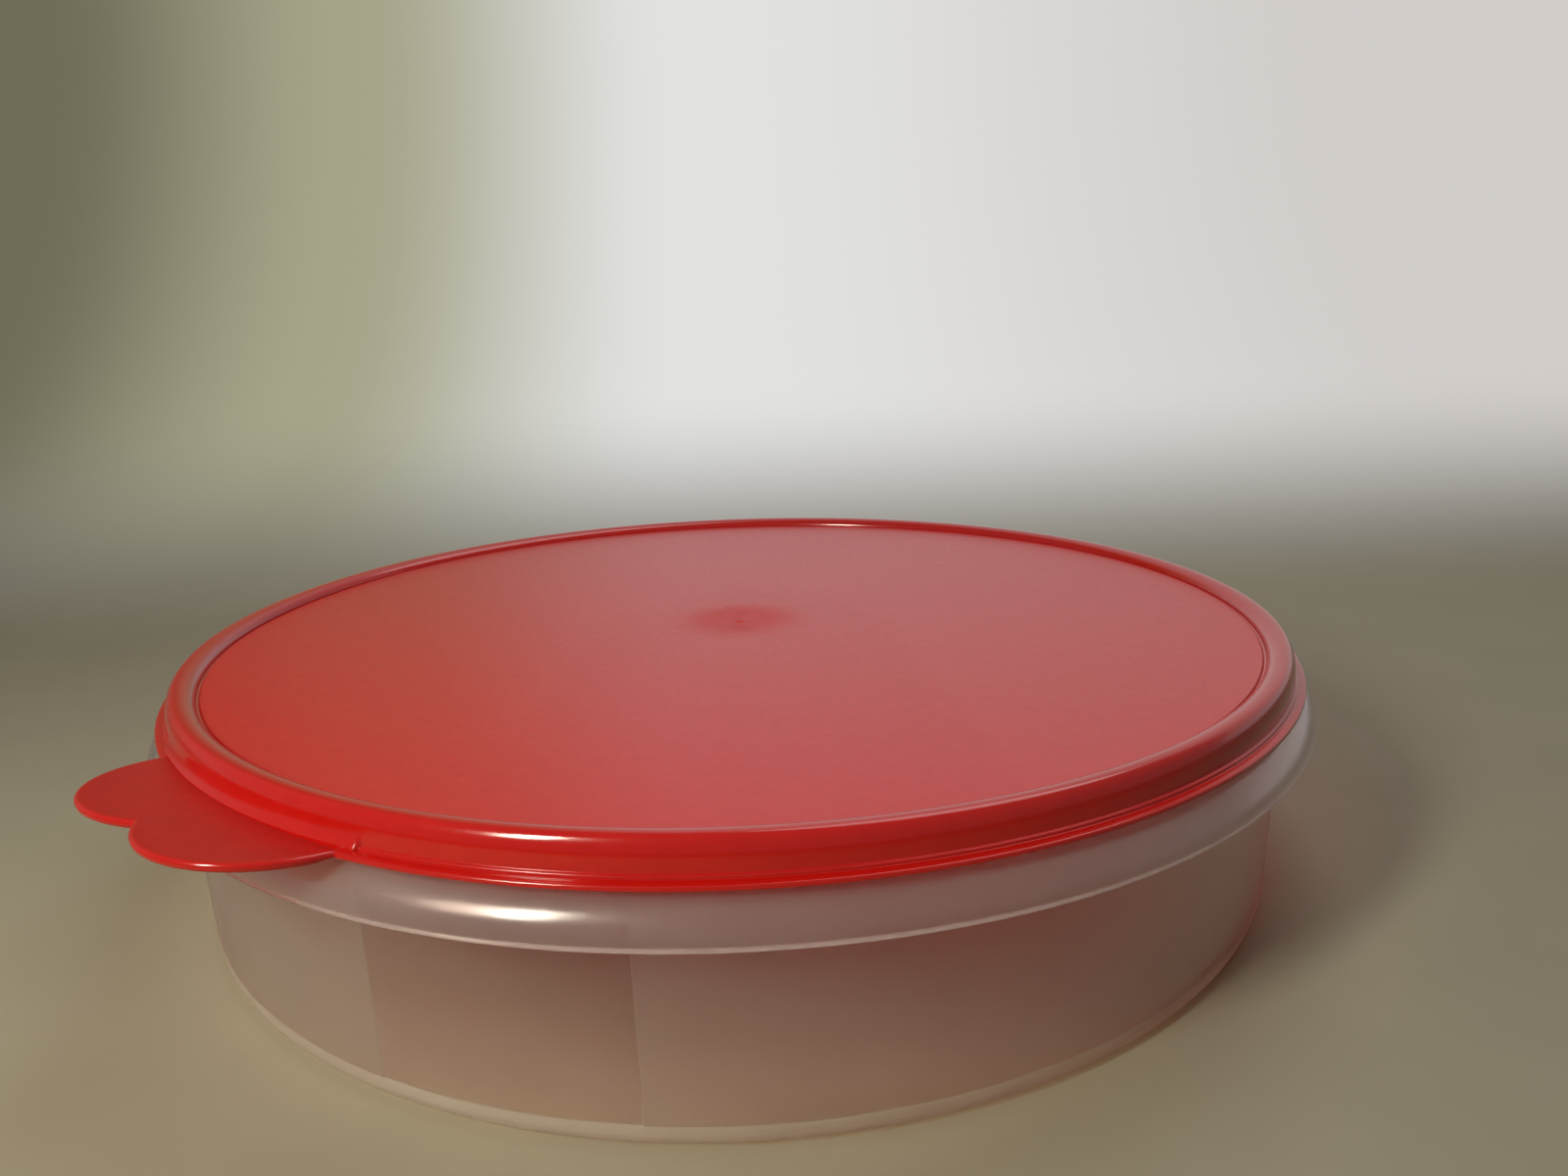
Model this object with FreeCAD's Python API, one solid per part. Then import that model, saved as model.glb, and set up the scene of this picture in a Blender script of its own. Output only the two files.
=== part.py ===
import FreeCAD, Part
import math
import os

from FreeCAD import Vector

os.makedirs("parts", exist_ok=True)

# Round food keeper: a low translucent bowl and a press-on lid with a two-lobed pull tab.
# Millimetres, +Z up, origin at the middle of the foot. Radii are measured from the Z axis.
# The front, with the window and the tab to its left, faces -Y.

# Bowl body
base_radius = 144.18  # outer face of the wall, carried down to the table
wall_draft = 1.47  # degrees
wall_thickness = 1.65
bowl_height = 59.87  # table to the top of the rim
floor_thickness = 1.6
foot_height = 1.0  # underside of the floor above the table
foot_width = 4.0
outer_corner = 3.4  # rounding from the wall to the foot
inner_corner = 2.5  # rounding from the wall to the floor
gate_recess_radius = 6.0
gate_recess_depth = 0.4

# Rim and turned-down skirt of the bowl
rim_thickness = 2.2
rim_rise = 7.4  # top of the rim above the root of the skirt
skirt_reach = 6.9  # lower edge of the skirt beyond the rim's outer face
skirt_depth = 7.6  # root of the skirt down to its lower edge
skirt_bulge = 1.7  # how far the skirt bows out from a straight slope
skirt_thickness = 1.5

# Polished window in the frosted wall
window_azimuth = -108.5  # degrees
window_width = 53.0
window_recess = 0.3

# Fit of the lid on the rim
seal_gap = 0.33
lip_gap = 0.95  # lower edge of the lid above the root of the skirt

# Lid: bead, band and stepped lip
bead_wall = 1.2
lip_height = 2.0
lip_reach = 2.4  # lip beyond the band
lip_round = 0.45
lead_in = 0.6
ridge_reach = 0.55
ridge_drop = 0.35
groove_drop = 0.55
plug_depth = 7.2  # sealing ring below the top of the rim
plug_thickness = 1.3

# Lid: panel
panel_thickness = 1.5
panel_drop = 2.6  # edge of the panel below the crest of the bead
panel_dish = 2.2  # fall of the panel from its edge to its middle
ledge_width = 1.45
ledge_rise = 0.6
crease_width = 0.8
crease_depth = 0.3
dimple_radius = 16.5
dimple_slope = 7.0  # width of the slope round the dimple's flat middle
dimple_depth = 0.6
gate_mark_radius = 1.2
gate_mark_height = 0.25

# Lid: pull tab
tab_azimuth = -131.9  # degrees
tab_rise = 8.0  # degrees, slope of the tab up from the lip
tab_reach = 18.4  # lobes beyond the lip
tab_lobe_radius = 22.6
tab_lobe_spacing = 26.0
tab_thickness = 1.8
tab_edge_round = 0.8
tab_root_width = 80.0  # thickened band above the tab, along the band
tab_root_height = 3.2
tab_root_reach = 1.2

# Roundings are drawn in flats, which keeps the wide rings light
round_error = 0.2  # farthest that a flat leaves its arc

# Radii and heights that follow from the sizes above
draft_slope = math.tan(math.radians(wall_draft))
skirt_root_z = bowl_height - rim_rise
rim_inner = base_radius + draft_slope * skirt_root_z - wall_thickness
rim_outer = rim_inner + rim_thickness
rim_middle = (rim_inner + rim_outer) / 2
bead_z = bowl_height - rim_thickness / 2
channel_radius = rim_thickness / 2 + seal_gap
bead_radius = channel_radius + bead_wall
band_radius = rim_middle + bead_radius
lip_radius = band_radius + lip_reach
lip_z = skirt_root_z + lip_gap
floor_z = foot_height + floor_thickness
panel_edge_z = bead_z + bead_radius - panel_drop
ledge_z = panel_edge_z + ledge_rise
ledge_radius = rim_middle - math.sqrt(bead_radius**2 - (ledge_z - bead_z) ** 2)
crease_radius = ledge_radius - ledge_width
panel_radius = crease_radius - crease_width
tab_inner = band_radius - bead_wall / 2  # the tab starts inside the band's own wall


def at(radius, height):
    """A point of a revolved outline."""
    return Vector(radius, 0, height)


def line(start, end):
    return Part.LineSegment(start, end).toShape()


def polyline(*points):
    return [line(a, b) for a, b in zip(points, points[1:])]


def rounding(centre, radius, from_angle, to_angle):
    """An arc about a centre in the outline's plane, by two angles in degrees, in even flats."""
    sweep = to_angle - from_angle
    flat = 2 * math.degrees(math.acos(1 - round_error / radius))
    count = math.ceil(abs(sweep) / flat)
    points = []
    for step in range(count + 1):
        turn = math.radians(from_angle + sweep * step / count)
        points.append(centre + at(radius * math.cos(turn), radius * math.sin(turn)))
    return polyline(*points)


def revolved(edges, angle=360):
    face = Part.Face(Part.Wire(Part.sortEdges(edges)[0]))
    return face.revolve(Vector(0, 0, 0), Vector(0, 0, 1), angle)


def wall_radius(height):
    """Outer radius of the drafted wall."""
    return base_radius + draft_slope * height


def skirt_outline():
    """The skirt from the rim's outer face, round its lower edge and back to the wall."""
    root = at(rim_outer, skirt_root_z)
    low = at(rim_outer + skirt_reach, skirt_root_z - skirt_depth)
    chord = low - root
    half = chord.Length / 2
    bow = (half**2 + skirt_bulge**2) / (2 * skirt_bulge)
    outward = Vector(-chord.z, 0, chord.x).normalize()
    centre = (root + low) * 0.5 + outward * (skirt_bulge - bow)
    start_angle = math.degrees(math.atan2((root - centre).z, (root - centre).x))
    end_angle = math.degrees(math.atan2((low - centre).z, (low - centre).x))
    inner_bow = bow - skirt_thickness
    wall_at = wall_radius(skirt_root_z)
    wall_angle = math.degrees(math.acos((wall_at - centre.x) / inner_bow))
    inner_low = centre + (low - centre) * (inner_bow / bow)
    inner_root = at(wall_at, centre.z + inner_bow * math.sin(math.radians(wall_angle)))
    edges = rounding(centre, bow, start_angle, end_angle)
    edges += rounding((low + inner_low) * 0.5, skirt_thickness / 2, end_angle, end_angle - 180)
    edges += rounding(centre, inner_bow, end_angle, wall_angle)
    return edges, inner_root


def make_bowl():
    skirt, skirt_inner_root = skirt_outline()
    rim_centre = at(rim_middle, bead_z)
    rim = rounding(rim_centre, rim_thickness / 2, 180, 90)
    rim += rounding(rim_centre, rim_thickness / 2, 90, 0)
    rim.append(line(at(rim_inner, skirt_root_z), at(rim_inner, bead_z)))
    rim.append(line(at(rim_outer, bead_z), at(rim_outer, skirt_root_z)))

    # The roundings are tangent to the drafted wall
    turn = math.radians(wall_draft)
    outer_rise = outer_corner * (1 - math.sin(turn))
    outer_tangent = at(wall_radius(outer_rise), outer_rise)
    outer_centre = outer_tangent - at(outer_corner * math.cos(turn), -outer_corner * math.sin(turn))
    foot_outer = outer_centre.x
    inner_rise = inner_corner * (1 - math.sin(turn))
    inner_tangent = at(wall_radius(floor_z + inner_rise) - wall_thickness, floor_z + inner_rise)
    inner_centre = inner_tangent - at(inner_corner * math.cos(turn), -inner_corner * math.sin(turn))
    outside = rounding(outer_centre, outer_corner, -wall_draft, -90)
    outside.append(line(skirt_inner_root, outer_tangent))
    foot_inner = foot_outer - foot_width
    gate_z = foot_height + gate_recess_depth
    below = polyline(
        at(foot_outer, outer_centre.z - outer_corner),
        at(foot_inner, 0),
        at(foot_inner - foot_height, foot_height),
        at(gate_recess_radius, foot_height),
        at(gate_recess_radius - gate_recess_depth, gate_z),
        at(0, gate_z),
        at(0, floor_z),
        at(inner_centre.x, floor_z),
    )
    inside = rounding(inner_centre, inner_corner, -90, -wall_draft)
    inside.append(line(inner_tangent, at(rim_inner, skirt_root_z)))
    bowl = revolved(rim + skirt + outside + below + inside)
    return bowl.cut(make_window_recess(outer_tangent.z))


def make_window_recess(low_z):
    """The shallow sector taken off the wall, from its foot to under the skirt."""
    high_z = skirt_root_z - skirt_depth
    proud = window_recess + skirt_thickness
    corners = (
        at(wall_radius(low_z) - window_recess, low_z),
        at(wall_radius(high_z) - window_recess, high_z),
        at(wall_radius(high_z) + proud, high_z),
        at(wall_radius(low_z) + proud, low_z),
    )
    angle = math.degrees(window_width / wall_radius(skirt_root_z / 2))
    recess = revolved(polyline(*corners, corners[0]), angle)
    recess.rotate(Vector(0, 0, 0), Vector(0, 0, 1), window_azimuth - angle / 2)
    return recess


def panel_height(radius):
    """Upper face of the panel, a shallow cone that falls towards the middle."""
    return panel_edge_z - panel_dish * (1 - radius / panel_radius)


def make_lid_shell():
    bead_centre = at(rim_middle, bead_z)
    dimple_z = panel_height(dimple_radius) - dimple_depth
    mark_z = dimple_z + gate_mark_height
    top = polyline(
        at(0, mark_z),
        at(gate_mark_radius, mark_z),
        at(gate_mark_radius, dimple_z),
        at(dimple_radius - dimple_slope, dimple_z),
        at(dimple_radius, panel_height(dimple_radius)),
        at(panel_radius, panel_edge_z),
        at(panel_radius + crease_width / 2, panel_edge_z - crease_depth),
        at(crease_radius, panel_edge_z),
        at(ledge_radius, ledge_z),
    )
    ledge_angle = 180 - math.degrees(math.asin((ledge_z - bead_z) / bead_radius))
    top += rounding(bead_centre, bead_radius, ledge_angle, 90)
    top += rounding(bead_centre, bead_radius, 90, 0)

    # Band, ridge, groove and lip, then the lead-in at the mouth of the channel
    groove_z = lip_z + lip_height - ridge_drop - groove_drop
    shoulder = at(lip_radius - lip_round, groove_z - (groove_z - lip_z - lip_round) / 4)
    lip_face = at(lip_radius, shoulder.z - lip_round)
    channel_outer = rim_outer + seal_gap
    channel_inner = rim_inner - seal_gap
    outside = polyline(
        at(band_radius, bead_z),
        at(band_radius, lip_z + lip_height),
        at(band_radius + ridge_reach, lip_z + lip_height - ridge_drop),
        at(band_radius + ridge_reach, groove_z),
        shoulder,
    )
    outside += rounding(shoulder - at(0, lip_round), lip_round, 90, 0)
    outside += polyline(
        lip_face,
        at(lip_radius, lip_z),
        at(channel_outer + lead_in, lip_z),
        at(channel_outer, lip_z + lead_in),
        at(channel_outer, bead_z),
    )

    # Channel over the rim, the sealing ring inside it and the underside of the panel
    plug_z = bowl_height - plug_depth
    plug_inner = channel_inner - plug_thickness
    tip_z = plug_z + plug_thickness / 2
    inside = rounding(bead_centre, channel_radius, 0, 90)
    inside += rounding(bead_centre, channel_radius, 90, 180)
    inside.append(line(at(channel_inner, bead_z), at(channel_inner, tip_z)))
    inside += rounding(at(channel_inner - plug_thickness / 2, tip_z), plug_thickness / 2, 0, -180)
    inside += polyline(
        at(plug_inner, tip_z),
        at(plug_inner, panel_height(plug_inner) - panel_thickness),
        at(0, panel_height(0) - panel_thickness),
        at(0, mark_z),
    )
    return revolved(top + outside + inside)


def lobe_centres():
    """Middles of the tab's two discs, either side of its azimuth."""
    reach = lip_radius + tab_reach - tab_lobe_radius
    side = math.degrees(math.asin(tab_lobe_spacing / 2 / reach))
    places = []
    for angle in (tab_azimuth - side, tab_azimuth + side):
        turn = math.radians(angle)
        places.append(Vector(reach * math.cos(turn), reach * math.sin(turn), lip_z))
    return places


def make_disc(place):
    """One lobe: a level disc with a rounded edge."""
    flat = tab_lobe_radius - tab_edge_round
    high = tab_thickness - tab_edge_round
    edges = polyline(at(0, tab_thickness), at(0, 0), at(flat, 0))
    edges += rounding(at(flat, tab_edge_round), tab_edge_round, -90, 0)
    edges.append(line(at(tab_lobe_radius, tab_edge_round), at(tab_lobe_radius, high)))
    edges += rounding(at(flat, high), tab_edge_round, 0, 90)
    edges.append(line(at(flat, tab_thickness), at(0, tab_thickness)))
    disc = revolved(edges)
    disc.translate(place)
    return disc


def make_root():
    """The sector above the tab where the band swells out to meet it."""
    high = lip_z + tab_thickness + tab_root_height
    low = lip_z + lip_round
    bow = (tab_root_height**2 + tab_root_reach**2) / (2 * tab_root_reach)
    sweep = math.degrees(math.asin(tab_root_height / bow))
    edges = rounding(at(band_radius + bow, high), bow, 180, 180 + sweep)
    edges += polyline(
        at(band_radius + tab_root_reach, lip_z + tab_thickness),
        at(band_radius + tab_root_reach, low),
        at(tab_inner, low),
        at(tab_inner, high),
        at(band_radius, high),
    )
    angle = math.degrees(tab_root_width / band_radius)
    root = revolved(edges, angle)
    root.rotate(Vector(0, 0, 0), Vector(0, 0, 1), tab_azimuth - angle / 2)
    return root


def make_tab():
    first, second = lobe_centres()
    tab = make_disc(first).fuse(make_disc(second))
    turn = math.radians(tab_azimuth)
    hinge = Vector(lip_radius * math.cos(turn), lip_radius * math.sin(turn), lip_z)
    tab.rotate(hinge, Vector(math.sin(turn), -math.cos(turn), 0), tab_rise)

    # Only what lies outside the band's middle and above the lip's lower edge is kept
    start = Vector(0, 0, lip_z)
    room = Part.makeCylinder(lip_radius + tab_reach, tab_reach, start)
    room = room.cut(Part.makeCylinder(tab_inner, tab_reach, start))
    return tab.common(room).fuse(make_root()).removeSplitter()


def make_lid():
    return make_lid_shell().fuse(make_tab()).removeSplitter()


for name, shape in (("bowl", make_bowl()), ("lid", make_lid())):
    solid = shape.Solids[0]
    solid.exportStep("parts/" + name + ".step")
    print(name, "solids", len(shape.Solids), "valid", solid.isValid(), "mm3", round(solid.Volume))
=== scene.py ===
import math

import bpy
from mathutils import Matrix, Vector


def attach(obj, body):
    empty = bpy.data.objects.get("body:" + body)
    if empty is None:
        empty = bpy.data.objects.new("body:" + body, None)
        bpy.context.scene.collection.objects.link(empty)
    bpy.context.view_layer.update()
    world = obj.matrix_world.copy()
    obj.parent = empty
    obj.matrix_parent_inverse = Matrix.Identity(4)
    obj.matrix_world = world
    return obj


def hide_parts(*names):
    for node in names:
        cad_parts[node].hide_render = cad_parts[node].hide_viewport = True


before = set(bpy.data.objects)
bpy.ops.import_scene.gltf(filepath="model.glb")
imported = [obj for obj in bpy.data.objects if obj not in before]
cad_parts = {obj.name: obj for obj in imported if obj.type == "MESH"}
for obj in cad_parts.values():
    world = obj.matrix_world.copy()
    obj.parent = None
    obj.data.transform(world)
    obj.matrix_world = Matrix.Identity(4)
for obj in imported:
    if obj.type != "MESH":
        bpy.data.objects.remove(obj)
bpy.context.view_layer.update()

print("frame loaded, nodes:", sorted(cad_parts))

mm = 0.001  # sizes of the lid and the bowl are in millimetres
sharpAngle = 38  # degrees, a sharper bend shows as an edge


# outline helpers, all give (radius, height) points

def arcRun(centre, radius, fromDeg, toDeg, steps):
    points = []
    for k in range(steps + 1):
        turn = math.radians(fromDeg + (toDeg - fromDeg) * k / steps)
        points.append((centre[0] + radius * math.cos(turn), centre[1] + radius * math.sin(turn)))
    return points


def straightRun(start, end, steps):
    return [
        (start[0] + (end[0] - start[0]) * k / steps, start[1] + (end[1] - start[1]) * k / steps)
        for k in range(steps + 1)
    ]


def joinRuns(*runs):
    points = []
    for run in runs:
        for point in run:
            if not points or math.dist(point, points[-1]) > 1e-4:
                points.append(point)
    return points


def easeStep(value, low, high):
    t = min(max((value - low) / (high - low), 0), 1)
    return t * t * (3 - 2 * t)


def spinPiece(name, azimuths, columns, finishOf, finishes):
    # each column is one azimuth's outline, from the axis on top round to the axis below
    rows = len(columns[0])
    count = len(azimuths)
    verts = [(0, 0, columns[0][0][1] * mm)]
    for azimuth, column in zip(azimuths, columns):
        turn = math.radians(azimuth)
        for radius, height in column[1:-1]:
            verts.append((radius * math.cos(turn) * mm, radius * math.sin(turn) * mm, height * mm))
    verts.append((0, 0, columns[0][-1][1] * mm))
    inner = rows - 2
    last = len(verts) - 1
    faces = []
    slots = []
    for j in range(count):
        k = (j + 1) % count
        here = 1 + j * inner
        there = 1 + k * inner
        faces.append((0, here, there))
        slots.append(finishOf(0, j))
        for i in range(inner - 1):
            faces.append((here + i, here + i + 1, there + i + 1, there + i))
            slots.append(finishOf(i + 1, j))
        faces.append((here + inner - 1, last, there + inner - 1))
        slots.append(finishOf(rows - 2, j))
    mesh = bpy.data.meshes.new(name)
    mesh.from_pydata(verts, [], faces)
    for finish in finishes:
        mesh.materials.append(finish)
    mesh.polygons.foreach_set("material_index", slots)
    mesh.shade_smooth()
    mesh.set_sharp_from_angle(angle=math.radians(sharpAngle))
    mesh.validate()
    piece = bpy.data.objects.new(name, mesh)
    bpy.context.scene.collection.objects.link(piece)
    return piece


# finishes

def newFinish(name):
    finish = bpy.data.materials.new(name)
    finish.use_nodes = True
    shader = finish.node_tree.nodes["Principled BSDF"]
    return finish, finish.node_tree, shader


def bumpOnto(tree, shader, coords, scale, strength, depth):
    # fine moulded grain
    fine = tree.nodes.new("ShaderNodeTexNoise")
    fine.inputs["Scale"].default_value = scale
    fine.inputs["Detail"].default_value = 3
    bump = tree.nodes.new("ShaderNodeBump")
    bump.inputs["Strength"].default_value = strength
    bump.inputs["Distance"].default_value = depth
    tree.links.new(coords.outputs["Object"], fine.inputs["Vector"])
    tree.links.new(fine.outputs["Fac"], bump.inputs["Height"])
    tree.links.new(bump.outputs["Normal"], shader.inputs["Normal"])


def roughOnto(tree, shader, coords, low, high, scale):
    # uneven roughness, in the part's own space
    broad = tree.nodes.new("ShaderNodeTexNoise")
    broad.inputs["Scale"].default_value = scale
    broad.inputs["Detail"].default_value = 4
    span = tree.nodes.new("ShaderNodeMapRange")
    span.inputs["From Min"].default_value = 0.3
    span.inputs["From Max"].default_value = 0.7
    span.inputs["To Min"].default_value = low
    span.inputs["To Max"].default_value = high
    shader.inputs["Roughness"].default_value = low
    tree.links.new(coords.outputs["Object"], broad.inputs["Vector"])
    tree.links.new(broad.outputs["Fac"], span.inputs["Value"])
    tree.links.new(span.outputs["Result"], shader.inputs["Roughness"])


def tintOnto(tree, shader, coords, dark, pale, scale):
    # slow drift of the pigment between two close colours
    cloud = tree.nodes.new("ShaderNodeTexNoise")
    cloud.inputs["Scale"].default_value = scale
    cloud.inputs["Detail"].default_value = 5
    ramp = tree.nodes.new("ShaderNodeValToRGB")
    ramp.color_ramp.elements[0].position = 0.3
    ramp.color_ramp.elements[0].color = (*dark, 1)
    ramp.color_ramp.elements[1].position = 0.7
    ramp.color_ramp.elements[1].color = (*pale, 1)
    tree.links.new(coords.outputs["Object"], cloud.inputs["Vector"])
    tree.links.new(cloud.outputs["Fac"], ramp.inputs["Fac"])
    shader.inputs["Base Color"].default_value = (*pale, 1)
    tree.links.new(ramp.outputs["Color"], shader.inputs["Base Color"])


def glowThrough(finish, colour):
    # thin plastic: a share of the lamps' light goes on through it, in its own colour
    tree = finish.node_tree
    shader = tree.nodes["Principled BSDF"]
    path = tree.nodes.new("ShaderNodeLightPath")
    through = tree.nodes.new("ShaderNodeBsdfTransparent")
    through.inputs["Color"].default_value = (*colour, 1)
    mix = tree.nodes.new("ShaderNodeMixShader")
    tree.links.new(path.outputs["Is Shadow Ray"], mix.inputs["Fac"])
    tree.links.new(shader.outputs["BSDF"], mix.inputs[1])
    tree.links.new(through.outputs["BSDF"], mix.inputs[2])
    tree.links.new(mix.outputs["Shader"], tree.nodes["Material Output"].inputs["Surface"])


# the lid: one red moulding

lid = {
    "beadRadius": 2.63,
    "beadCentre": (144.977, 58.77),
    "bandFoot": 55.3,
    "bandEnd": 55.44,  # just above the ridge
    "bandInner": 146.407,
    "bandPower": 2.4,
    "lipRadius": 150.007,
    "lipFloor": 53.42,
    "lipInner": 147.3,
    "lipRound": 0.45,
    "lipEdgeRound": 0.15,
    "ridge": (148.157, 55.07),
    "grooveFloor": 54.52,
    "edgeGroove": 0.5,  # depth of the groove round the panel
    "domeDrop": 0.4,  # where the rim's inner side starts, below the panel's edge
    "domePower": 2.1,
    "gateRise": 0.25,
    "creaseRadius": 140.97,
    "panelRadius": 140.17,
    "panelEdge": 58.80,
    "panelDish": 2.2,
    "panelThickness": 1.5,
    "dimpleRadius": 16.5,
    "dimpleDepth": 0.4,
    "dimpleFlat": 3,
    "matteFlat": 8,  # the coarser middle, full to here and gone a little past the dimple
    "matteExtra": 0.15,
    "channelRadius": 1.43,
    "channelFoot": 58.5,
    "plugInner": 142.247,
    "plugOuter": 143.547,
    "plugTip": 52.67,
    "plugRound": 0.65,
    "tabAzimuth": -131.9,
    "tabRise": 8.0,  # degrees up from the lip
    "tabLobeRadius": 22.6,
    "tabLobeSpacing": 26.0,
    "tabReach": 18.2,
    "notchRound": 0.3,
    "tabThickness": 1.8,
    "tabRound": 0.8,
    "rootHeight": 3.2,
    "rootReach": 1.2,
    "rootHalf": 15.5,  # degrees to each side where the band swells above the tab
    "rootEnd": 0.5,  # degrees over which the swelling ends
    "tabBlend": (148.9, 150.6),  # edge distances between which the lip turns into the tab
    "tabSector": 18.0,  # degrees to each side that get fine columns
    "fineStep": 0.15,
    "coarseStep": 1.2,
    "rootRows": 10,  # rows down the swelling
    "tabRows": 15,  # rows across the tab's top
    "roughScale": 700,
    "tintScale": 260,
    "passes": (0.66, 0.05, 0.04),  # lamp light let through each face
}

bandTall = lid["beadCentre"][1] + lid["beadRadius"] - lid["bandFoot"]
lobeDistance = lid["lipRadius"] + lid["tabReach"] - lid["tabLobeRadius"]
lobeSide = math.degrees(math.asin(lid["tabLobeSpacing"] / 2 / lobeDistance))


def lobeEdge(azimuth, inset):
    # distance from the axis to the tab's edge, drawn in by inset
    reaches = []
    for side in (-lobeSide, lobeSide):
        turn = math.radians(azimuth - lid["tabAzimuth"] - side)
        across = lobeDistance * math.sin(turn)
        room = (lid["tabLobeRadius"] - inset) ** 2 - across**2
        reaches.append(lobeDistance * math.cos(turn) + math.sqrt(room) if room > 0 else 0)
    high, low = max(reaches), min(reaches)
    soft = lid["notchRound"]
    return high + soft * math.log(1 + math.exp((low - high) / soft))


def panelHeight(radius):
    fall = lid["panelDish"] * (1 - (radius / lid["panelRadius"]) ** 2)
    dent = lid["dimpleDepth"] * (1 - easeStep(radius, lid["dimpleFlat"], lid["dimpleRadius"] + 1))
    return lid["panelEdge"] - fall - dent


def bandAt(height):
    # radius of the rim's outer face, one smooth curve from the crest down to the ridge
    share = min(max((height - lid["bandFoot"]) / bandTall, 0), 1)
    power = lid["bandPower"]
    return lid["beadCentre"][0] + lid["beadRadius"] * (1 - share**power) ** (1 / power)


def lidColumn(azimuth):
    panelR, creaseR = lid["panelRadius"], lid["creaseRadius"]
    edge = lid["panelEdge"]
    mark = panelHeight(0) + lid["gateRise"]
    top = [(0, mark), (0.7, mark), (1.05, mark - 0.05), (1.25, mark - 0.2), (1.6, panelHeight(1.6))]
    rings = [3, 5, 7] + [8.5 + k for k in range(9)] + [18, 22, 28, 36, 46, 58, 70, 82, 94, 106]
    rings += [116, 124, 131, 136, 138.6, 139.8]
    top += [(radius, panelHeight(radius)) for radius in rings]
    half = (creaseR - panelR) / 2
    top += [
        (panelR - 0.1, edge - 0.01),
        (panelR + 0.06, edge - 0.1),
        (panelR + 0.18, edge - 0.32),
        (panelR + half, edge - lid["edgeGroove"]),
        (creaseR - 0.15, edge - lid["edgeGroove"] + 0.04),
    ]
    domeFoot = edge - lid["domeDrop"]
    domeWide = lid["beadCentre"][0] - creaseR
    domeTall = lid["beadCentre"][1] + lid["beadRadius"] - domeFoot
    for k in range(19):
        turn = math.radians(5 * k)
        top.append((
            lid["beadCentre"][0] - domeWide * max(math.cos(turn), 0) ** (2 / lid["domePower"]),
            domeFoot + domeTall * math.sin(turn) ** (2 / lid["domePower"]),
        ))
    rootTop = lid["lipFloor"] + lid["tabThickness"] + lid["rootHeight"]
    for k in range(14):
        turn = math.radians(84 - 56.5 * k / 13)
        height = lid["bandFoot"] + bandTall * math.sin(turn) ** (2 / lid["bandPower"])
        top.append((bandAt(height), height))
    body = lipOrTab(azimuth, rootTop)
    bottom, hang, channel = lid["lipFloor"], lid["bandInner"], lid["channelFoot"]
    inner, outer = lid["plugInner"], lid["plugOuter"]
    tip = lid["plugTip"] + lid["plugRound"]
    under = joinRuns(
        [(hang + 0.593, bottom + 0.03), (hang + 0.023, bottom + 0.58)],
        straightRun((hang, bottom + 0.75), (hang, channel), 3),
        arcRun(lid["beadCentre"], lid["channelRadius"], 0, 180, 14),
        straightRun((outer, channel), (outer, tip), 3),
        arcRun(((inner + outer) / 2, tip), lid["plugRound"], 0, -180, 8),
    )
    roof = underHeight(inner)
    under += [(inner, roof - 1.6), (inner, roof - 0.6), (inner - 0.18, roof - 0.18)]
    rings = (inner - 0.6, 140, 136, 130, 120, 108, 95, 80, 65, 50, 35, 22, 12, 5, 0)
    under += [(radius, underHeight(radius)) for radius in rings]
    return top, body, under


def underHeight(radius):
    fall = lid["panelDish"] * (1 - (radius / lid["panelRadius"]) ** 2)
    return lid["panelEdge"] - fall - lid["panelThickness"]


def rootSwell(height, rootTop):
    # how far the band stands out above the tab, at one height
    tall, reach = lid["rootHeight"], lid["rootReach"]
    bow = (tall**2 + reach**2) / (2 * reach)
    depth = min(max(rootTop - height, 0), tall)
    return bow - math.sqrt(bow**2 - depth**2)


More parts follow.
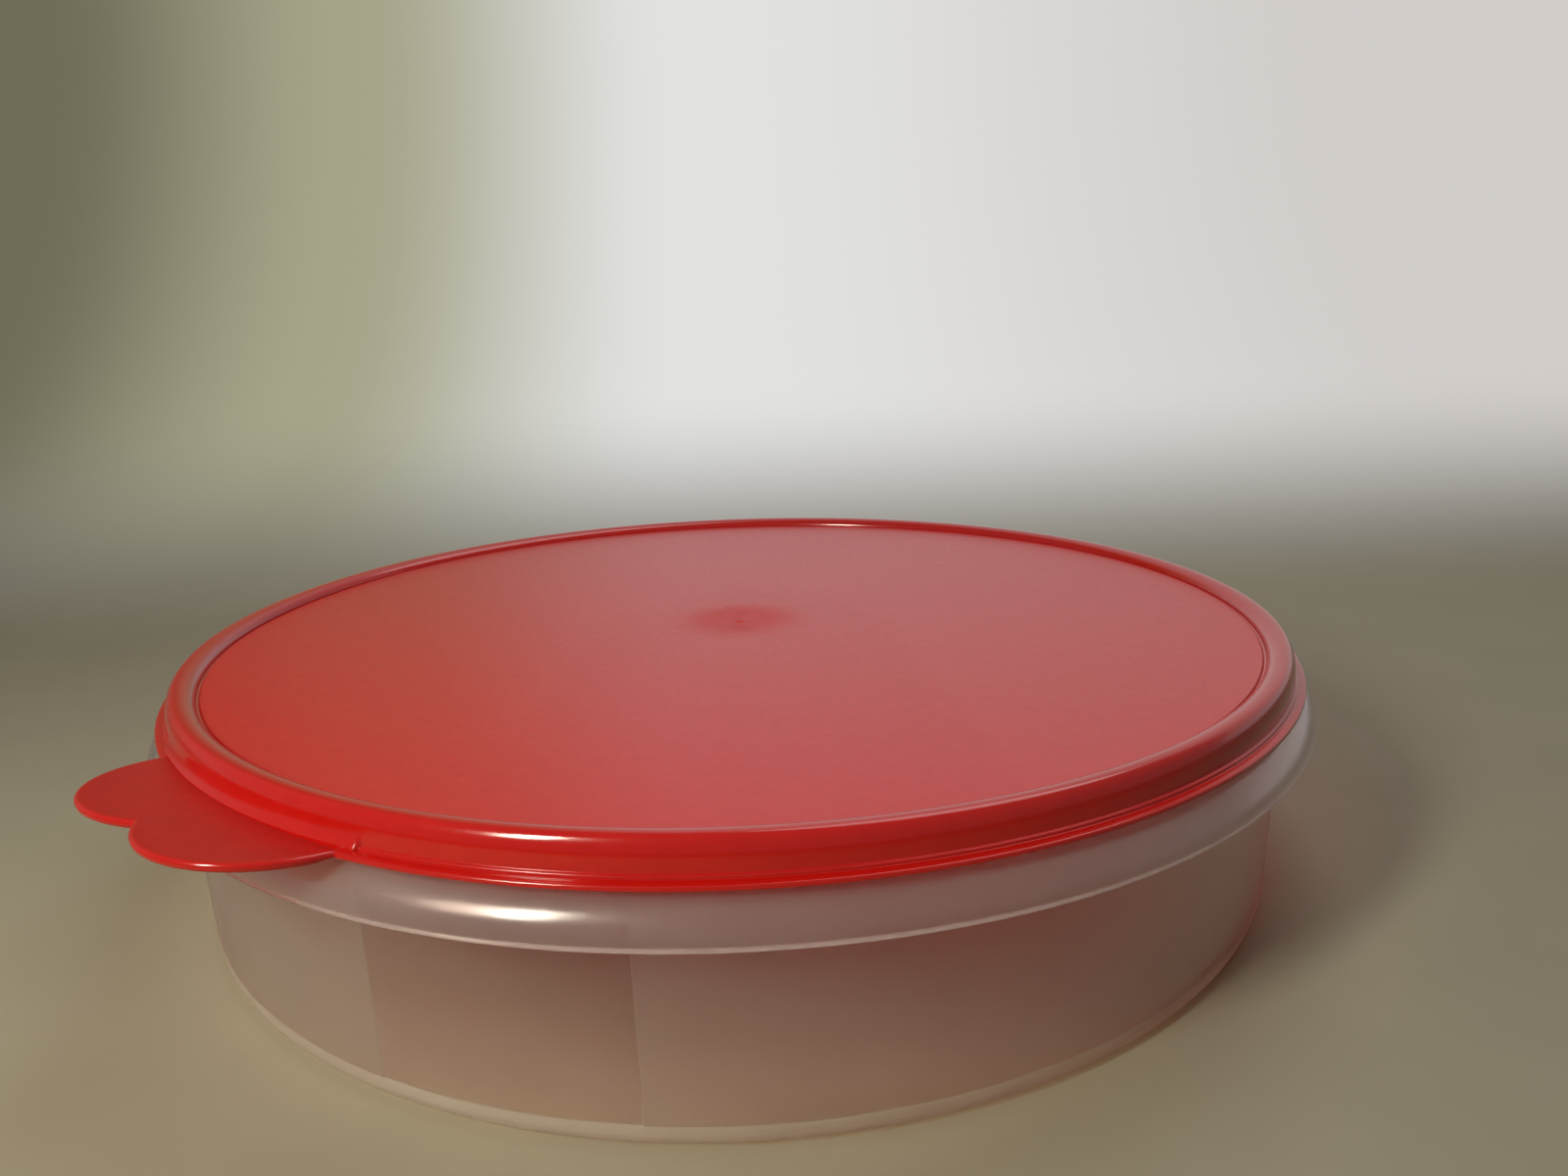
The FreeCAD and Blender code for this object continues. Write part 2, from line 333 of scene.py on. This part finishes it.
def lipOrTab(azimuth, rootTop):
    bottom = lid["lipFloor"]
    ridge, groove, lipR = lid["ridge"], lid["grooveFloor"], lid["lipRadius"]
    bend, edgeBend, lipInner = lid["lipRound"], lid["lipEdgeRound"], lid["lipInner"]
    shoulder = (lipR - bend, groove - (groove - bottom - bend) / 4)
    end, rootRows, tabRows = lid["bandEnd"], lid["rootRows"], lid["tabRows"]
    heights = [rootTop + (end - rootTop) * k / (rootRows - 1) for k in range(rootRows)]
    lipRun = [(bandAt(height), height) for height in heights]
    waist = lipRun[-1][0]
    lipRun += [
        (waist + 0.02, end - 0.1),
        (waist + 0.1, end - 0.17),
        (ridge[0] - 0.3, ridge[1] + 0.17),
        (ridge[0] - 0.16, ridge[1] + 0.1),
        (ridge[0] - 0.07, ridge[1] + 0.03),
        (ridge[0] - 0.02, ridge[1] - 0.05),
        (ridge[0], ridge[1] - 0.14),
        (ridge[0], groove + 0.14),
        (ridge[0] + 0.02, groove + 0.06),
        (ridge[0] + 0.1, groove + 0.01),
        (ridge[0] + 0.25, groove - 0.01),
        (ridge[0] + 0.5, groove - 0.02),
        (ridge[0] + 0.75, groove - 0.03),
        (ridge[0] + 1.0, shoulder[1] + 0.08),
        (ridge[0] + 1.2, shoulder[1] + 0.04),
        (shoulder[0] - 0.1, shoulder[1] + 0.01),
    ]
    lipRun += arcRun((shoulder[0], shoulder[1] - bend), bend, 90, 0, 6)
    lipRun += [(lipR, bottom + 0.3)]
    lipRun += arcRun((lipR - edgeBend, bottom + edgeBend), edgeBend, 0, -90, 6)
    lipRun += straightRun((lipR - 0.4, bottom), (lipInner, bottom), 7)
    away = abs(azimuth - lid["tabAzimuth"])
    swell = 1 - easeStep(away, lid["rootHalf"] - lid["rootEnd"], lid["rootHalf"])
    if swell:
        upper = rootRows + tabRows
        lipRun[:upper] = [
            (max(radius, bandAt(height) + swell * rootSwell(height, rootTop)), height)
            for radius, height in lipRun[:upper]
        ]
    reach = lobeEdge(azimuth, 0)
    share = easeStep(reach, *lid["tabBlend"])
    if not share:
        return lipRun
    tabTop = bottom + lid["tabThickness"]
    rounding = lid["tabRound"]
    start = waist + lid["rootReach"]
    flat = max(lobeEdge(azimuth, rounding), start + 0.2)
    heights = [rootTop - lid["rootHeight"] * k / (rootRows - 1) for k in range(rootRows)]
    tabRun = [(bandAt(height) + rootSwell(height, rootTop), height) for height in heights]
    tabRun += straightRun((start, tabTop), (flat, tabTop), tabRows)
    for k in range(7):
        turn = math.radians(90 * k / 6)
        edge = max(lobeEdge(azimuth, rounding * (1 - math.sin(turn))), start + 0.2)
        tabRun.append((edge, tabTop - rounding * (1 - math.cos(turn))))
    tabRun.append((reach, bottom + rounding + 0.1))
    for k in range(7):
        turn = math.radians(90 * k / 6)
        edge = max(lobeEdge(azimuth, rounding * (1 - math.cos(turn))), start + 0.2)
        tabRun.append((edge, bottom + rounding * (1 - math.sin(turn))))
    low = tabRun[-1][0]
    tabRun += straightRun((low - 0.05 * (low - lipInner), bottom), (lipInner, bottom), 7)
    slope = math.tan(math.radians(lid["tabRise"]))
    along = math.cos(math.radians(away))
    for k in range(rootRows, len(tabRun)):
        radius, height = tabRun[k]
        tabRun[k] = (radius, max(height + slope * (radius * along - lipR), bottom))
    return [
        (a[0] + (b[0] - a[0]) * share, a[1] + (b[1] - a[1]) * share) for a, b in zip(lipRun, tabRun)
    ]


def lidFinish(name, dark, pale, rough, grain, bend):
    finish, tree, shader = newFinish(name)
    shader.inputs["IOR"].default_value = bend
    coords = tree.nodes.new("ShaderNodeTexCoord")
    bumpOnto(tree, shader, coords, *grain)
    roughOnto(tree, shader, coords, *rough, lid["roughScale"])
    tintOnto(tree, shader, coords, dark, pale, lid["tintScale"])
    glowThrough(finish, lid["passes"])
    return finish


def matteMiddle(finish):
    # the dimple's coarser texture: the roughness rises towards the gate
    tree = finish.node_tree
    shader = tree.nodes["Principled BSDF"]
    coords = tree.nodes.new("ShaderNodeTexCoord")
    flat = tree.nodes.new("ShaderNodeVectorMath")
    flat.operation = "MULTIPLY"
    flat.inputs[1].default_value = (1, 1, 0)
    reach = tree.nodes.new("ShaderNodeVectorMath")
    reach.operation = "LENGTH"
    fade = tree.nodes.new("ShaderNodeMapRange")
    fade.interpolation_type = "SMOOTHSTEP"
    fade.inputs["From Min"].default_value = lid["matteFlat"] * mm
    fade.inputs["From Max"].default_value = (lid["dimpleRadius"] + 6) * mm
    fade.inputs["To Min"].default_value = lid["matteExtra"]
    fade.inputs["To Max"].default_value = 0
    both = tree.nodes.new("ShaderNodeMath")
    both.operation = "ADD"
    grain = shader.inputs["Roughness"].links[0].from_socket
    tree.links.new(coords.outputs["Object"], flat.inputs[0])
    tree.links.new(flat.outputs["Vector"], reach.inputs[0])
    tree.links.new(reach.outputs["Value"], fade.inputs["Value"])
    tree.links.new(grain, both.inputs[0])
    tree.links.new(fade.outputs["Result"], both.inputs[1])
    tree.links.new(both.outputs["Value"], shader.inputs["Roughness"])


def lidAzimuths():
    low = lid["tabAzimuth"] - lid["tabSector"]
    fine = int(round(2 * lid["tabSector"] / lid["fineStep"]))
    turns = [low + k * lid["fineStep"] for k in range(fine)]
    rest = 360 - 2 * lid["tabSector"]
    coarse = int(round(rest / lid["coarseStep"]))
    turns += [low + 2 * lid["tabSector"] + k * rest / coarse for k in range(coarse)]
    ends = [lid["rootHalf"] - lid["rootEnd"] * k / 12 for k in range(13)]
    turns += [lid["tabAzimuth"] + side * end for side in (-1, 1) for end in ends]
    return sorted(set(round(turn, 4) for turn in turns))


def makeLid():
    gloss = lidFinish(
        "lid gloss red",
        dark=(0.55, 0.005, 0.002),
        pale=(0.58, 0.007, 0.003),
        rough=(0.13, 0.17),
        grain=(900, 0.03, 0.00004),
        bend=1.54,
    )
    satin = lidFinish(
        "lid satin red",
        dark=(0.64, 0.007, 0.006),
        pale=(0.68, 0.009, 0.007),
        rough=(0.30, 0.36),
        grain=(3200, 0.3, 0.00008),
        bend=1.6,
    )
    matteMiddle(satin)
    # the tab's red is painted darker than the panel's: painted shade on the tab, which is the same
    # red moulding
    tabSatin = lidFinish(
        "lid tab red",
        dark=(0.46, 0.006, 0.004),
        pale=(0.50, 0.008, 0.005),
        rough=(0.40, 0.46),
        grain=(2600, 0.35, 0.0001),
        bend=1.42,
    )
    azimuths = lidAzimuths()
    parts = [lidColumn(azimuth) for azimuth in azimuths]
    columns = [top + body + under for top, body, under in parts]
    panelRows = sum(point[0] < lid["panelRadius"] for point in parts[0][0])
    tabStart = len(parts[0][0]) + lid["rootRows"]
    tabTopRows = range(tabStart, tabStart + lid["tabRows"])
    inTab = [lobeEdge(azimuth, 0) > lid["tabBlend"][1] for azimuth in azimuths]

    def finishOf(row, column):
        if row < panelRows - 1:
            return 1
        if row in tabTopRows and inTab[column]:
            return 2
        return 0

    return spinPiece("lid_visual", azimuths, columns, finishOf, (gloss, satin, tabSatin))


lidPiece = makeLid()
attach(lidPiece, "lid")
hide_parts("lid")
print("lid made, faces:", len(lidPiece.data.polygons))


# the bowl: one milky translucent moulding

bowl = {
    "baseRadius": 144.18,
    "draft": 1.47,
    "wall": 1.65,
    "floor": 2.6,
    "footHeight": 1.0,
    "footWidth": 4.0,
    "outerCorner": 3.4,
    "innerCorner": 2.5,
    "rimInner": 143.877,
    "rimOuter": 146.077,
    "rimTop": 59.87,
    "skirtRoot": 52.47,
    "skirtCentre": (144.42, 44.03),
    "skirtRadius": 8.59,
    "skirtThickness": 1.5,
    "windowAzimuth": -108.5,
    "windowWidth": 53.0,
    "windowRecess": 0.3,
    "windowTop": 44.87,
    "windowInnerFoot": 5,  # the polished field starts here inside
    "windowEdge": 0.05,  # degrees, half the width of the window's side steps
    "skirtEnd": 5.6,  # degrees above the bow's centre where the round lower edge starts
    "skirtTip": 44.5,  # height below which the round edge gets a paler finish, a painted highlight for the light it gathers
    "gateRadius": 6.1,
    "gateDepth": 0.4,
    "wallSpan": (5.0, 50.9),  # heights of the frosted wall, above the foot, whose paler, warmer, milkier finish is painted light from the table seen through it
    "floorRings": (8, 20, 35, 50, 65, 80, 95, 108, 120, 130, 136),
    "baseRings": (128, 114, 98, 80, 62, 44, 28, 16, 8),
    "step": 0.8,  # degrees
    "bend": 1.49,
    "roughScale": 500,
    "tintScale": 40,
}


def wallRadius(height):
    return bowl["baseRadius"] + math.tan(math.radians(bowl["draft"])) * height


def bowlColumn(recess):
    # recess is how far the polished window lies behind the frosted face
    draft = math.radians(bowl["draft"])
    root = bowl["skirtRoot"]
    floor = bowl["floor"]
    inside = bowl["innerCorner"]
    insideRise = floor + inside * (1 - math.sin(draft))
    insideTangent = (wallRadius(insideRise) - bowl["wall"], insideRise)
    insideCentre = (
        insideTangent[0] - inside * math.cos(draft),
        insideTangent[1] + inside * math.sin(draft),
    )
    points = [(radius, floor) for radius in (0, *bowl["floorRings"])]
    points += arcRun(insideCentre, inside, -90, -bowl["draft"], 8)
    points += straightRun(insideTangent, (bowl["rimInner"], root), 10)[1:]
    rimMiddle = (bowl["rimInner"] + bowl["rimOuter"]) / 2
    half = rimMiddle - bowl["rimInner"]
    top = bowl["rimTop"] - half
    points += straightRun((bowl["rimInner"], root + 1), (bowl["rimInner"], top), 3)
    points += arcRun((rimMiddle, top), half, 180, 0, 12)[1:]
    points += straightRun((bowl["rimOuter"], top - 0.8), (bowl["rimOuter"], root + 0.5), 4)
    centre, bow = bowl["skirtCentre"], bowl["skirtRadius"]
    rootAngle = math.degrees(math.atan2(root - centre[1], bowl["rimOuter"] - centre[0]))
    points += [(bowl["rimOuter"] + 0.1, root + 0.16)]
    end = bowl["skirtEnd"]
    points += arcRun(centre, bow, rootAngle - 3, end, 16)
    half = bowl["skirtThickness"] / 2
    tip = (
        centre[0] + (bow - half) * math.cos(math.radians(end)),
        centre[1] + (bow - half) * math.sin(math.radians(end)),
    )
    points += arcRun(tip, half, end, end - 180, 10)[1:]
    inner = bow - bowl["skirtThickness"]
    wallAngle = math.degrees(math.acos((wallRadius(root) - centre[0]) / inner))
    points += arcRun(centre, inner, end, wallAngle - 4, 9)[1:]
    outside = bowl["outerCorner"]
    outsideRise = outside * (1 - math.sin(draft))
    windowTop = bowl["windowTop"]
    for height in (50.6, 49.2, 47.4, windowTop + 0.15):
        points.append((wallRadius(height), height))
    for height in (windowTop - 0.15, 42, 38, 33, 28, 23, 18, 13, 9, 6.5, 5.2):
        points.append((wallRadius(height) - recess, height))
    points.append((wallRadius(4.2) - recess * 0.5, 4.2))
    points.append((wallRadius(outsideRise), outsideRise))
    cornerCentre = (
        wallRadius(outsideRise) - outside * math.cos(draft),
        outsideRise + outside * math.sin(draft),
    )
    points += arcRun(cornerCentre, outside, -bowl["draft"] - 3, -90, 9)
    footInner = cornerCentre[0] - bowl["footWidth"]
    rise = bowl["footHeight"]
    points += [
        (footInner + 0.2, 0),
        (footInner - 0.05, 0.1),
        (footInner - rise + 0.1, rise - 0.05),
        (footInner - rise - 0.2, rise),
    ]
    gate, gateRoof = bowl["gateRadius"], rise + bowl["gateDepth"]
    points += [(radius, rise) for radius in (*bowl["baseRings"], gate)]
    points += [(gate - 0.2, rise + 0.06), (gate - 0.48, gateRoof - 0.04), (gate - 0.7, gateRoof)]
    points += [(2.5, gateRoof), (0, gateRoof)]
    return points


def bowlFinish(name, dark, pale, clear, rough, passes, grain=None):
    finish, tree, shader = newFinish(name)
    shader.inputs["IOR"].default_value = bowl["bend"]
    shader.inputs["Transmission Weight"].default_value = clear
    coords = tree.nodes.new("ShaderNodeTexCoord")
    if grain:
        bumpOnto(tree, shader, coords, *grain)
    roughOnto(tree, shader, coords, *rough, bowl["roughScale"])
    tintOnto(tree, shader, coords, dark, pale, bowl["tintScale"])
    glowThrough(finish, passes)
    return finish


def makeBowl():
    frost = bowlFinish(
        "bowl frosted wall",
        dark=(0.86, 0.81, 0.76),
        pale=(0.90, 0.86, 0.82),
        clear=0.93,
        rough=(0.46, 0.52),
        passes=(0.50, 0.41, 0.36),
        grain=(2600, 0.25, 0.00006),
    )
    clear = bowlFinish(
        "bowl polished window",
        dark=(0.87, 0.81, 0.76),
        pale=(0.91, 0.87, 0.83),
        clear=0.97,
        rough=(0.28, 0.33),
        passes=(0.56, 0.49, 0.44),
    )
    # rim and skirt tinted mauve-pink: painted red light from the lid, on the same milky plastic as
    # the wall
    gloss = bowlFinish(
        "bowl glossy rim",
        dark=(0.86, 0.77, 0.79),
        pale=(0.90, 0.82, 0.84),
        clear=0.93,
        rough=(0.17, 0.20),
        passes=(0.46, 0.39, 0.37),
    )
    inner = bowlFinish(
        "bowl inside",
        dark=(0.87, 0.82, 0.78),
        pale=(0.91, 0.88, 0.84),
        clear=0.96,
        rough=(0.28, 0.33),
        passes=(0.70, 0.64, 0.60),
    )
    floor = bowlFinish(
        "bowl floor",
        dark=(0.56, 0.52, 0.48),
        pale=(0.60, 0.57, 0.53),
        clear=0.35,
        rough=(0.28, 0.34),
        passes=(0.66, 0.61, 0.56),
    )
    # the foot's paler, warmer, milkier finish is painted light: it stands in for the lit table seen
    # through the bottom corner
    foot = bowlFinish(
        "bowl foot",
        dark=(0.77, 0.73, 0.65),
        pale=(0.81, 0.78, 0.70),
        clear=0.63,
        rough=(0.28, 0.34),
        passes=(0.76, 0.70, 0.64),
    )
    # paler, more diffuse finish for the skirt's round lower edge: a painted highlight, a bright
    # line where the edge gathers light
    edgeHighlightPaint = bowlFinish(
        "bowl skirt edge painted highlight",
        dark=(0.92, 0.86, 0.84),
        pale=(0.96, 0.91, 0.89),
        clear=0.68,
        rough=(0.17, 0.20),
        passes=(0.76, 0.70, 0.66),
    )
    halfWindow = math.degrees(bowl["windowWidth"] / wallRadius(bowl["skirtRoot"] / 2)) / 2
    low = bowl["windowAzimuth"] - halfWindow
    high = bowl["windowAzimuth"] + halfWindow
    edge = bowl["windowEdge"]
    across = int(round(2 * halfWindow / bowl["step"]))
    wide = 2 * (halfWindow - edge)
    azimuths = [low - edge] + [low + edge + k * wide / across for k in range(across + 1)]
    start = high + edge
    rest = low - edge + 360 - start
    around = int(round(rest / bowl["step"]))
    azimuths += [start + k * rest / around for k in range(around)]
    inWindow = [low < azimuth < high for azimuth in azimuths]
    columns = [bowlColumn(bowl["windowRecess"] if window else 0) for window in inWindow]
    plain = bowlColumn(0)
    top = max(range(len(plain)), key=lambda k: plain[k][1])
    wallLow, wallHigh = bowl["wallSpan"]
    wallRows = [
        k
        for k in range(top, len(plain))
        if plain[k][0] < bowl["rimOuter"] and wallLow < plain[k][1] < wallHigh
    ]
    firstWall, lastWall = min(wallRows), max(wallRows)
    innerRows = max(k for k in range(top) if plain[k][1] < bowl["skirtRoot"] + 0.1)
    floorRows = len(bowl["floorRings"])
    windowTop = bowl["windowTop"]

    def finishOf(row, column):
        if row < floorRows:
            return 4
        window = inWindow[column] and inWindow[(column + 1) % len(inWindow)]
        if row < innerRows:
            return 1 if window and bowl["windowInnerFoot"] < plain[row][1] < windowTop else 3
        if firstWall <= row < lastWall:
            return 1 if window and plain[row][1] < windowTop else 0
        if row < firstWall:
            # the skirt's round lower edge takes the painted highlight finish
            return 6 if row > top and plain[row][1] < bowl["skirtTip"] else 2
        return 5

    finishes = (frost, clear, gloss, inner, floor, foot, edgeHighlightPaint)
    return spinPiece("bowl_visual", azimuths, columns, finishOf, finishes)


bowlPiece = makeBowl()
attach(bowlPiece, "bowl")
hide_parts("bowl")
print("bowl made, faces:", len(bowlPiece.data.polygons))


# floor and backdrop: one pale sweep

stage = {
    "paper": (0.41, 0.38, 0.285),
    "paintedGlow": (  # painted light on the wall, from left to right: painted shade on the left, a painted pool of light near the middle
        (-1.5, (0.27, 0.262, 0.248)),
        (-0.55, (0.16, 0.155, 0.10)),
        (-0.30, (0.38, 0.37, 0.25)),
        (-0.03, (0.76, 0.76, 0.75)),
        (0.55, (0.64, 0.61, 0.59)),
    ),
    "bendStart": 0.19,
    "bend": 0.5,
    "bendFade": 0.3,  # run over which the floor turns into the wall
    "height": 1.2,
    "far": (0.27, 0.262, 0.248),  # what the floor fades to far from the object
    "farFrom": 0.55,
    "farTo": 1.5,
    "halfWidth": 6,
    "frontReach": 6,
    "drop": 0.0002,  # the sheet lies just under the foot
}


def paperFinish():
    # camera, gloss and clear plastic see the rising part as a glowing wall of painted light, dimmer
    # on the left with painted shade and brightest near the middle with a painted pool of light; far
    # from the object the floor shows an even tone
    finish, tree, shader = newFinish("studio paper")
    shader.inputs["Roughness"].default_value = 0.75
    shader.inputs["Specular IOR Level"].default_value = 0.2
    coords = tree.nodes.new("ShaderNodeTexCoord")
    tintOnto(tree, shader, coords, stage["paper"], tuple(c * 1.05 for c in stage["paper"]), 25)
    split = tree.nodes.new("ShaderNodeSeparateXYZ")
    span = tree.nodes.new("ShaderNodeMapRange")
    low, high = stage["paintedGlow"][0][0], stage["paintedGlow"][-1][0]
    span.inputs["From Min"].default_value = low
    span.inputs["From Max"].default_value = high
    ramp = tree.nodes.new("ShaderNodeValToRGB")
    ramp.color_ramp.interpolation = "EASE"
    for k, (place, colour) in enumerate(stage["paintedGlow"]):
        spot = (place - low) / (high - low)
        element = ramp.color_ramp.elements[k] if k < 2 else ramp.color_ramp.elements.new(spot)
        element.position = spot
        element.color = (*colour, 1)
    rise = tree.nodes.new("ShaderNodeMapRange")
    rise.interpolation_type = "SMOOTHSTEP"
    rise.inputs["From Min"].default_value = stage["bendStart"]
    rise.inputs["From Max"].default_value = stage["bendStart"] + stage["bendFade"]
    away = tree.nodes.new("ShaderNodeVectorMath")
    away.operation = "LENGTH"
    fade = tree.nodes.new("ShaderNodeMapRange")
    fade.interpolation_type = "SMOOTHSTEP"
    fade.inputs["From Min"].default_value = stage["farFrom"]
    fade.inputs["From Max"].default_value = stage["farTo"]
    tone = tree.nodes.new("ShaderNodeMix")
    tone.data_type = "RGBA"
    tone.inputs["A"].default_value = (*stage["far"], 1)
    reached = tree.nodes.new("ShaderNodeMath")
    reached.operation = "MAXIMUM"
    paintedGlow = tree.nodes.new("ShaderNodeEmission")
    path = tree.nodes.new("ShaderNodeLightPath")
    either = tree.nodes.new("ShaderNodeMath")
    either.operation = "MAXIMUM"
    anyOf = tree.nodes.new("ShaderNodeMath")
    anyOf.operation = "MAXIMUM"
    share = tree.nodes.new("ShaderNodeMath")
    share.operation = "MULTIPLY"
    mix = tree.nodes.new("ShaderNodeMixShader")
    links = tree.links
    links.new(coords.outputs["Object"], split.inputs["Vector"])
    links.new(split.outputs["X"], span.inputs["Value"])
    links.new(split.outputs["Y"], rise.inputs["Value"])
    links.new(span.outputs["Result"], ramp.inputs["Fac"])
    links.new(coords.outputs["Object"], away.inputs[0])
    links.new(away.outputs["Value"], fade.inputs["Value"])
    links.new(rise.outputs["Result"], tone.inputs["Factor"])
    links.new(ramp.outputs["Color"], tone.inputs["B"])
    links.new(tone.outputs["Result"], paintedGlow.inputs["Color"])
    links.new(rise.outputs["Result"], reached.inputs[0])
    links.new(fade.outputs["Result"], reached.inputs[1])
    links.new(path.outputs["Is Camera Ray"], either.inputs[0])
    links.new(path.outputs["Is Glossy Ray"], either.inputs[1])
    links.new(either.outputs["Value"], anyOf.inputs[0])
    links.new(path.outputs["Is Transmission Ray"], anyOf.inputs[1])
    links.new(anyOf.outputs["Value"], share.inputs[0])
    links.new(reached.outputs["Value"], share.inputs[1])
    links.new(share.outputs["Value"], mix.inputs["Fac"])
    links.new(shader.outputs["BSDF"], mix.inputs[1])
    links.new(paintedGlow.outputs["Emission"], mix.inputs[2])
    links.new(mix.outputs["Shader"], tree.nodes["Material Output"].inputs["Surface"])
    return finish


def makeStage():
    start, bend = stage["bendStart"], stage["bend"]
    run = [(-stage["frontReach"], 0), (-0.4, 0), (0, 0), (start, 0)]
    for k in range(1, 25):
        turn = math.radians(90 * k / 24)
        run.append((start + bend * math.sin(turn), bend - bend * math.cos(turn)))
    run.append((start + bend, stage["height"]))
    wide, drop = stage["halfWidth"], stage["drop"]
    verts = []
    for y, z in run:
        verts += [(-wide, y, z - drop), (wide, y, z - drop)]
    faces = [(2 * k, 2 * k + 1, 2 * k + 3, 2 * k + 2) for k in range(len(run) - 1)]
    mesh = bpy.data.meshes.new("studio_sweep")
    mesh.from_pydata(verts, [], faces)
    mesh.materials.append(paperFinish())
    mesh.shade_smooth()
    sweep = bpy.data.objects.new("studio_sweep", mesh)
    bpy.context.scene.collection.objects.link(sweep)


makeStage()
print("stage made")


# light

light = {
    "key": {
        "place": (-0.268, -0.378, 0.321),
        "aim": (0, 0, 0.05),
        "size": (0.08, 0.17),
        "power": 1.6,
        "colour": (1.0, 0.93, 0.76),
    },
    "overhead": {
        "place": (0.34, 0.28, 0.92),
        "aim": (0.1, 0, 0),
        "size": (0.7, 0.7),
        "power": 2.7,
        "colour": (1.0, 0.97, 0.96),
    },
    "worldColour": (1.0, 0.97, 0.92),
    "worldStrength": 0.05,
    "skyStrength": 0.27,
}


def addLamp(name):
    made = light[name]
    lamp = bpy.data.lights.new(name, "AREA")
    lamp.shape = "ELLIPSE"
    lamp.size, lamp.size_y = made["size"]
    lamp.energy = made["power"]
    lamp.color = made["colour"]
    holder = bpy.data.objects.new(name, lamp)
    holder.location = made["place"]
    aim = Vector(made["aim"]) - Vector(made["place"])
    holder.rotation_euler = aim.to_track_quat("-Z", "Y").to_euler()
    holder.visible_transmission = False  # the plastic lets lamp light through by itself
    bpy.context.scene.collection.objects.link(holder)


def makeWorld():
    world = bpy.data.worlds.new("studio")
    world.use_nodes = True
    tree = world.node_tree
    fill = tree.nodes["Background"]
    fill.inputs["Color"].default_value = (*light["worldColour"], 1)
    fill.inputs["Strength"].default_value = light["worldStrength"]
    sky = tree.nodes.new("ShaderNodeBackground")
    sky.inputs["Color"].default_value = (*light["worldColour"], 1)
    sky.inputs["Strength"].default_value = light["skyStrength"]
    path = tree.nodes.new("ShaderNodeLightPath")
    either = tree.nodes.new("ShaderNodeMath")
    either.operation = "MAXIMUM"
    anyOf = tree.nodes.new("ShaderNodeMath")
    anyOf.operation = "MAXIMUM"
    mix = tree.nodes.new("ShaderNodeMixShader")
    tree.links.new(path.outputs["Is Camera Ray"], either.inputs[0])
    tree.links.new(path.outputs["Is Glossy Ray"], either.inputs[1])
    tree.links.new(either.outputs["Value"], anyOf.inputs[0])
    tree.links.new(path.outputs["Is Transmission Ray"], anyOf.inputs[1])
    tree.links.new(anyOf.outputs["Value"], mix.inputs["Fac"])
    tree.links.new(fill.outputs["Background"], mix.inputs[1])
    tree.links.new(sky.outputs["Background"], mix.inputs[2])
    tree.links.new(mix.outputs["Shader"], tree.nodes["World Output"].inputs["Surface"])
    bpy.context.scene.world = world


addLamp("key")
addLamp("overhead")
makeWorld()
print("light made")


# camera, from the photograph's rim, skirt and foot

camera = {
    "place": (0.0, -0.30030, 0.13857),
    "yaw": 2.5012,
    "pitch": 13.6486,
    "roll": 1.60583,
    "lens": 24.268,
    "sensor": 36,
    "near": 0.01,
}


def makeCamera():
    yaw, pitch, roll = (math.radians(camera[name]) for name in ("yaw", "pitch", "roll"))
    level = math.cos(pitch)
    ahead = Vector((math.sin(yaw) * level, math.cos(yaw) * level, -math.sin(pitch)))
    right = Vector((math.cos(yaw), -math.sin(yaw), 0))
    down = ahead.cross(right)
    across = right * math.cos(roll) + down * math.sin(roll)
    below = down * math.cos(roll) - right * math.sin(roll)
    data = bpy.data.cameras.new("camera")
    data.lens = camera["lens"]
    data.sensor_width = camera["sensor"]
    data.clip_start = camera["near"]
    eye = bpy.data.objects.new("camera", data)
    turn = Matrix((across, -below, -ahead)).transposed()
    eye.matrix_world = Matrix.Translation(camera["place"]) @ turn.to_4x4()
    bpy.context.scene.collection.objects.link(eye)
    bpy.context.scene.camera = eye


makeCamera()
print("camera made")

bpy.context.scene.view_settings.view_transform = "Standard"
bpy.context.view_layer.update()
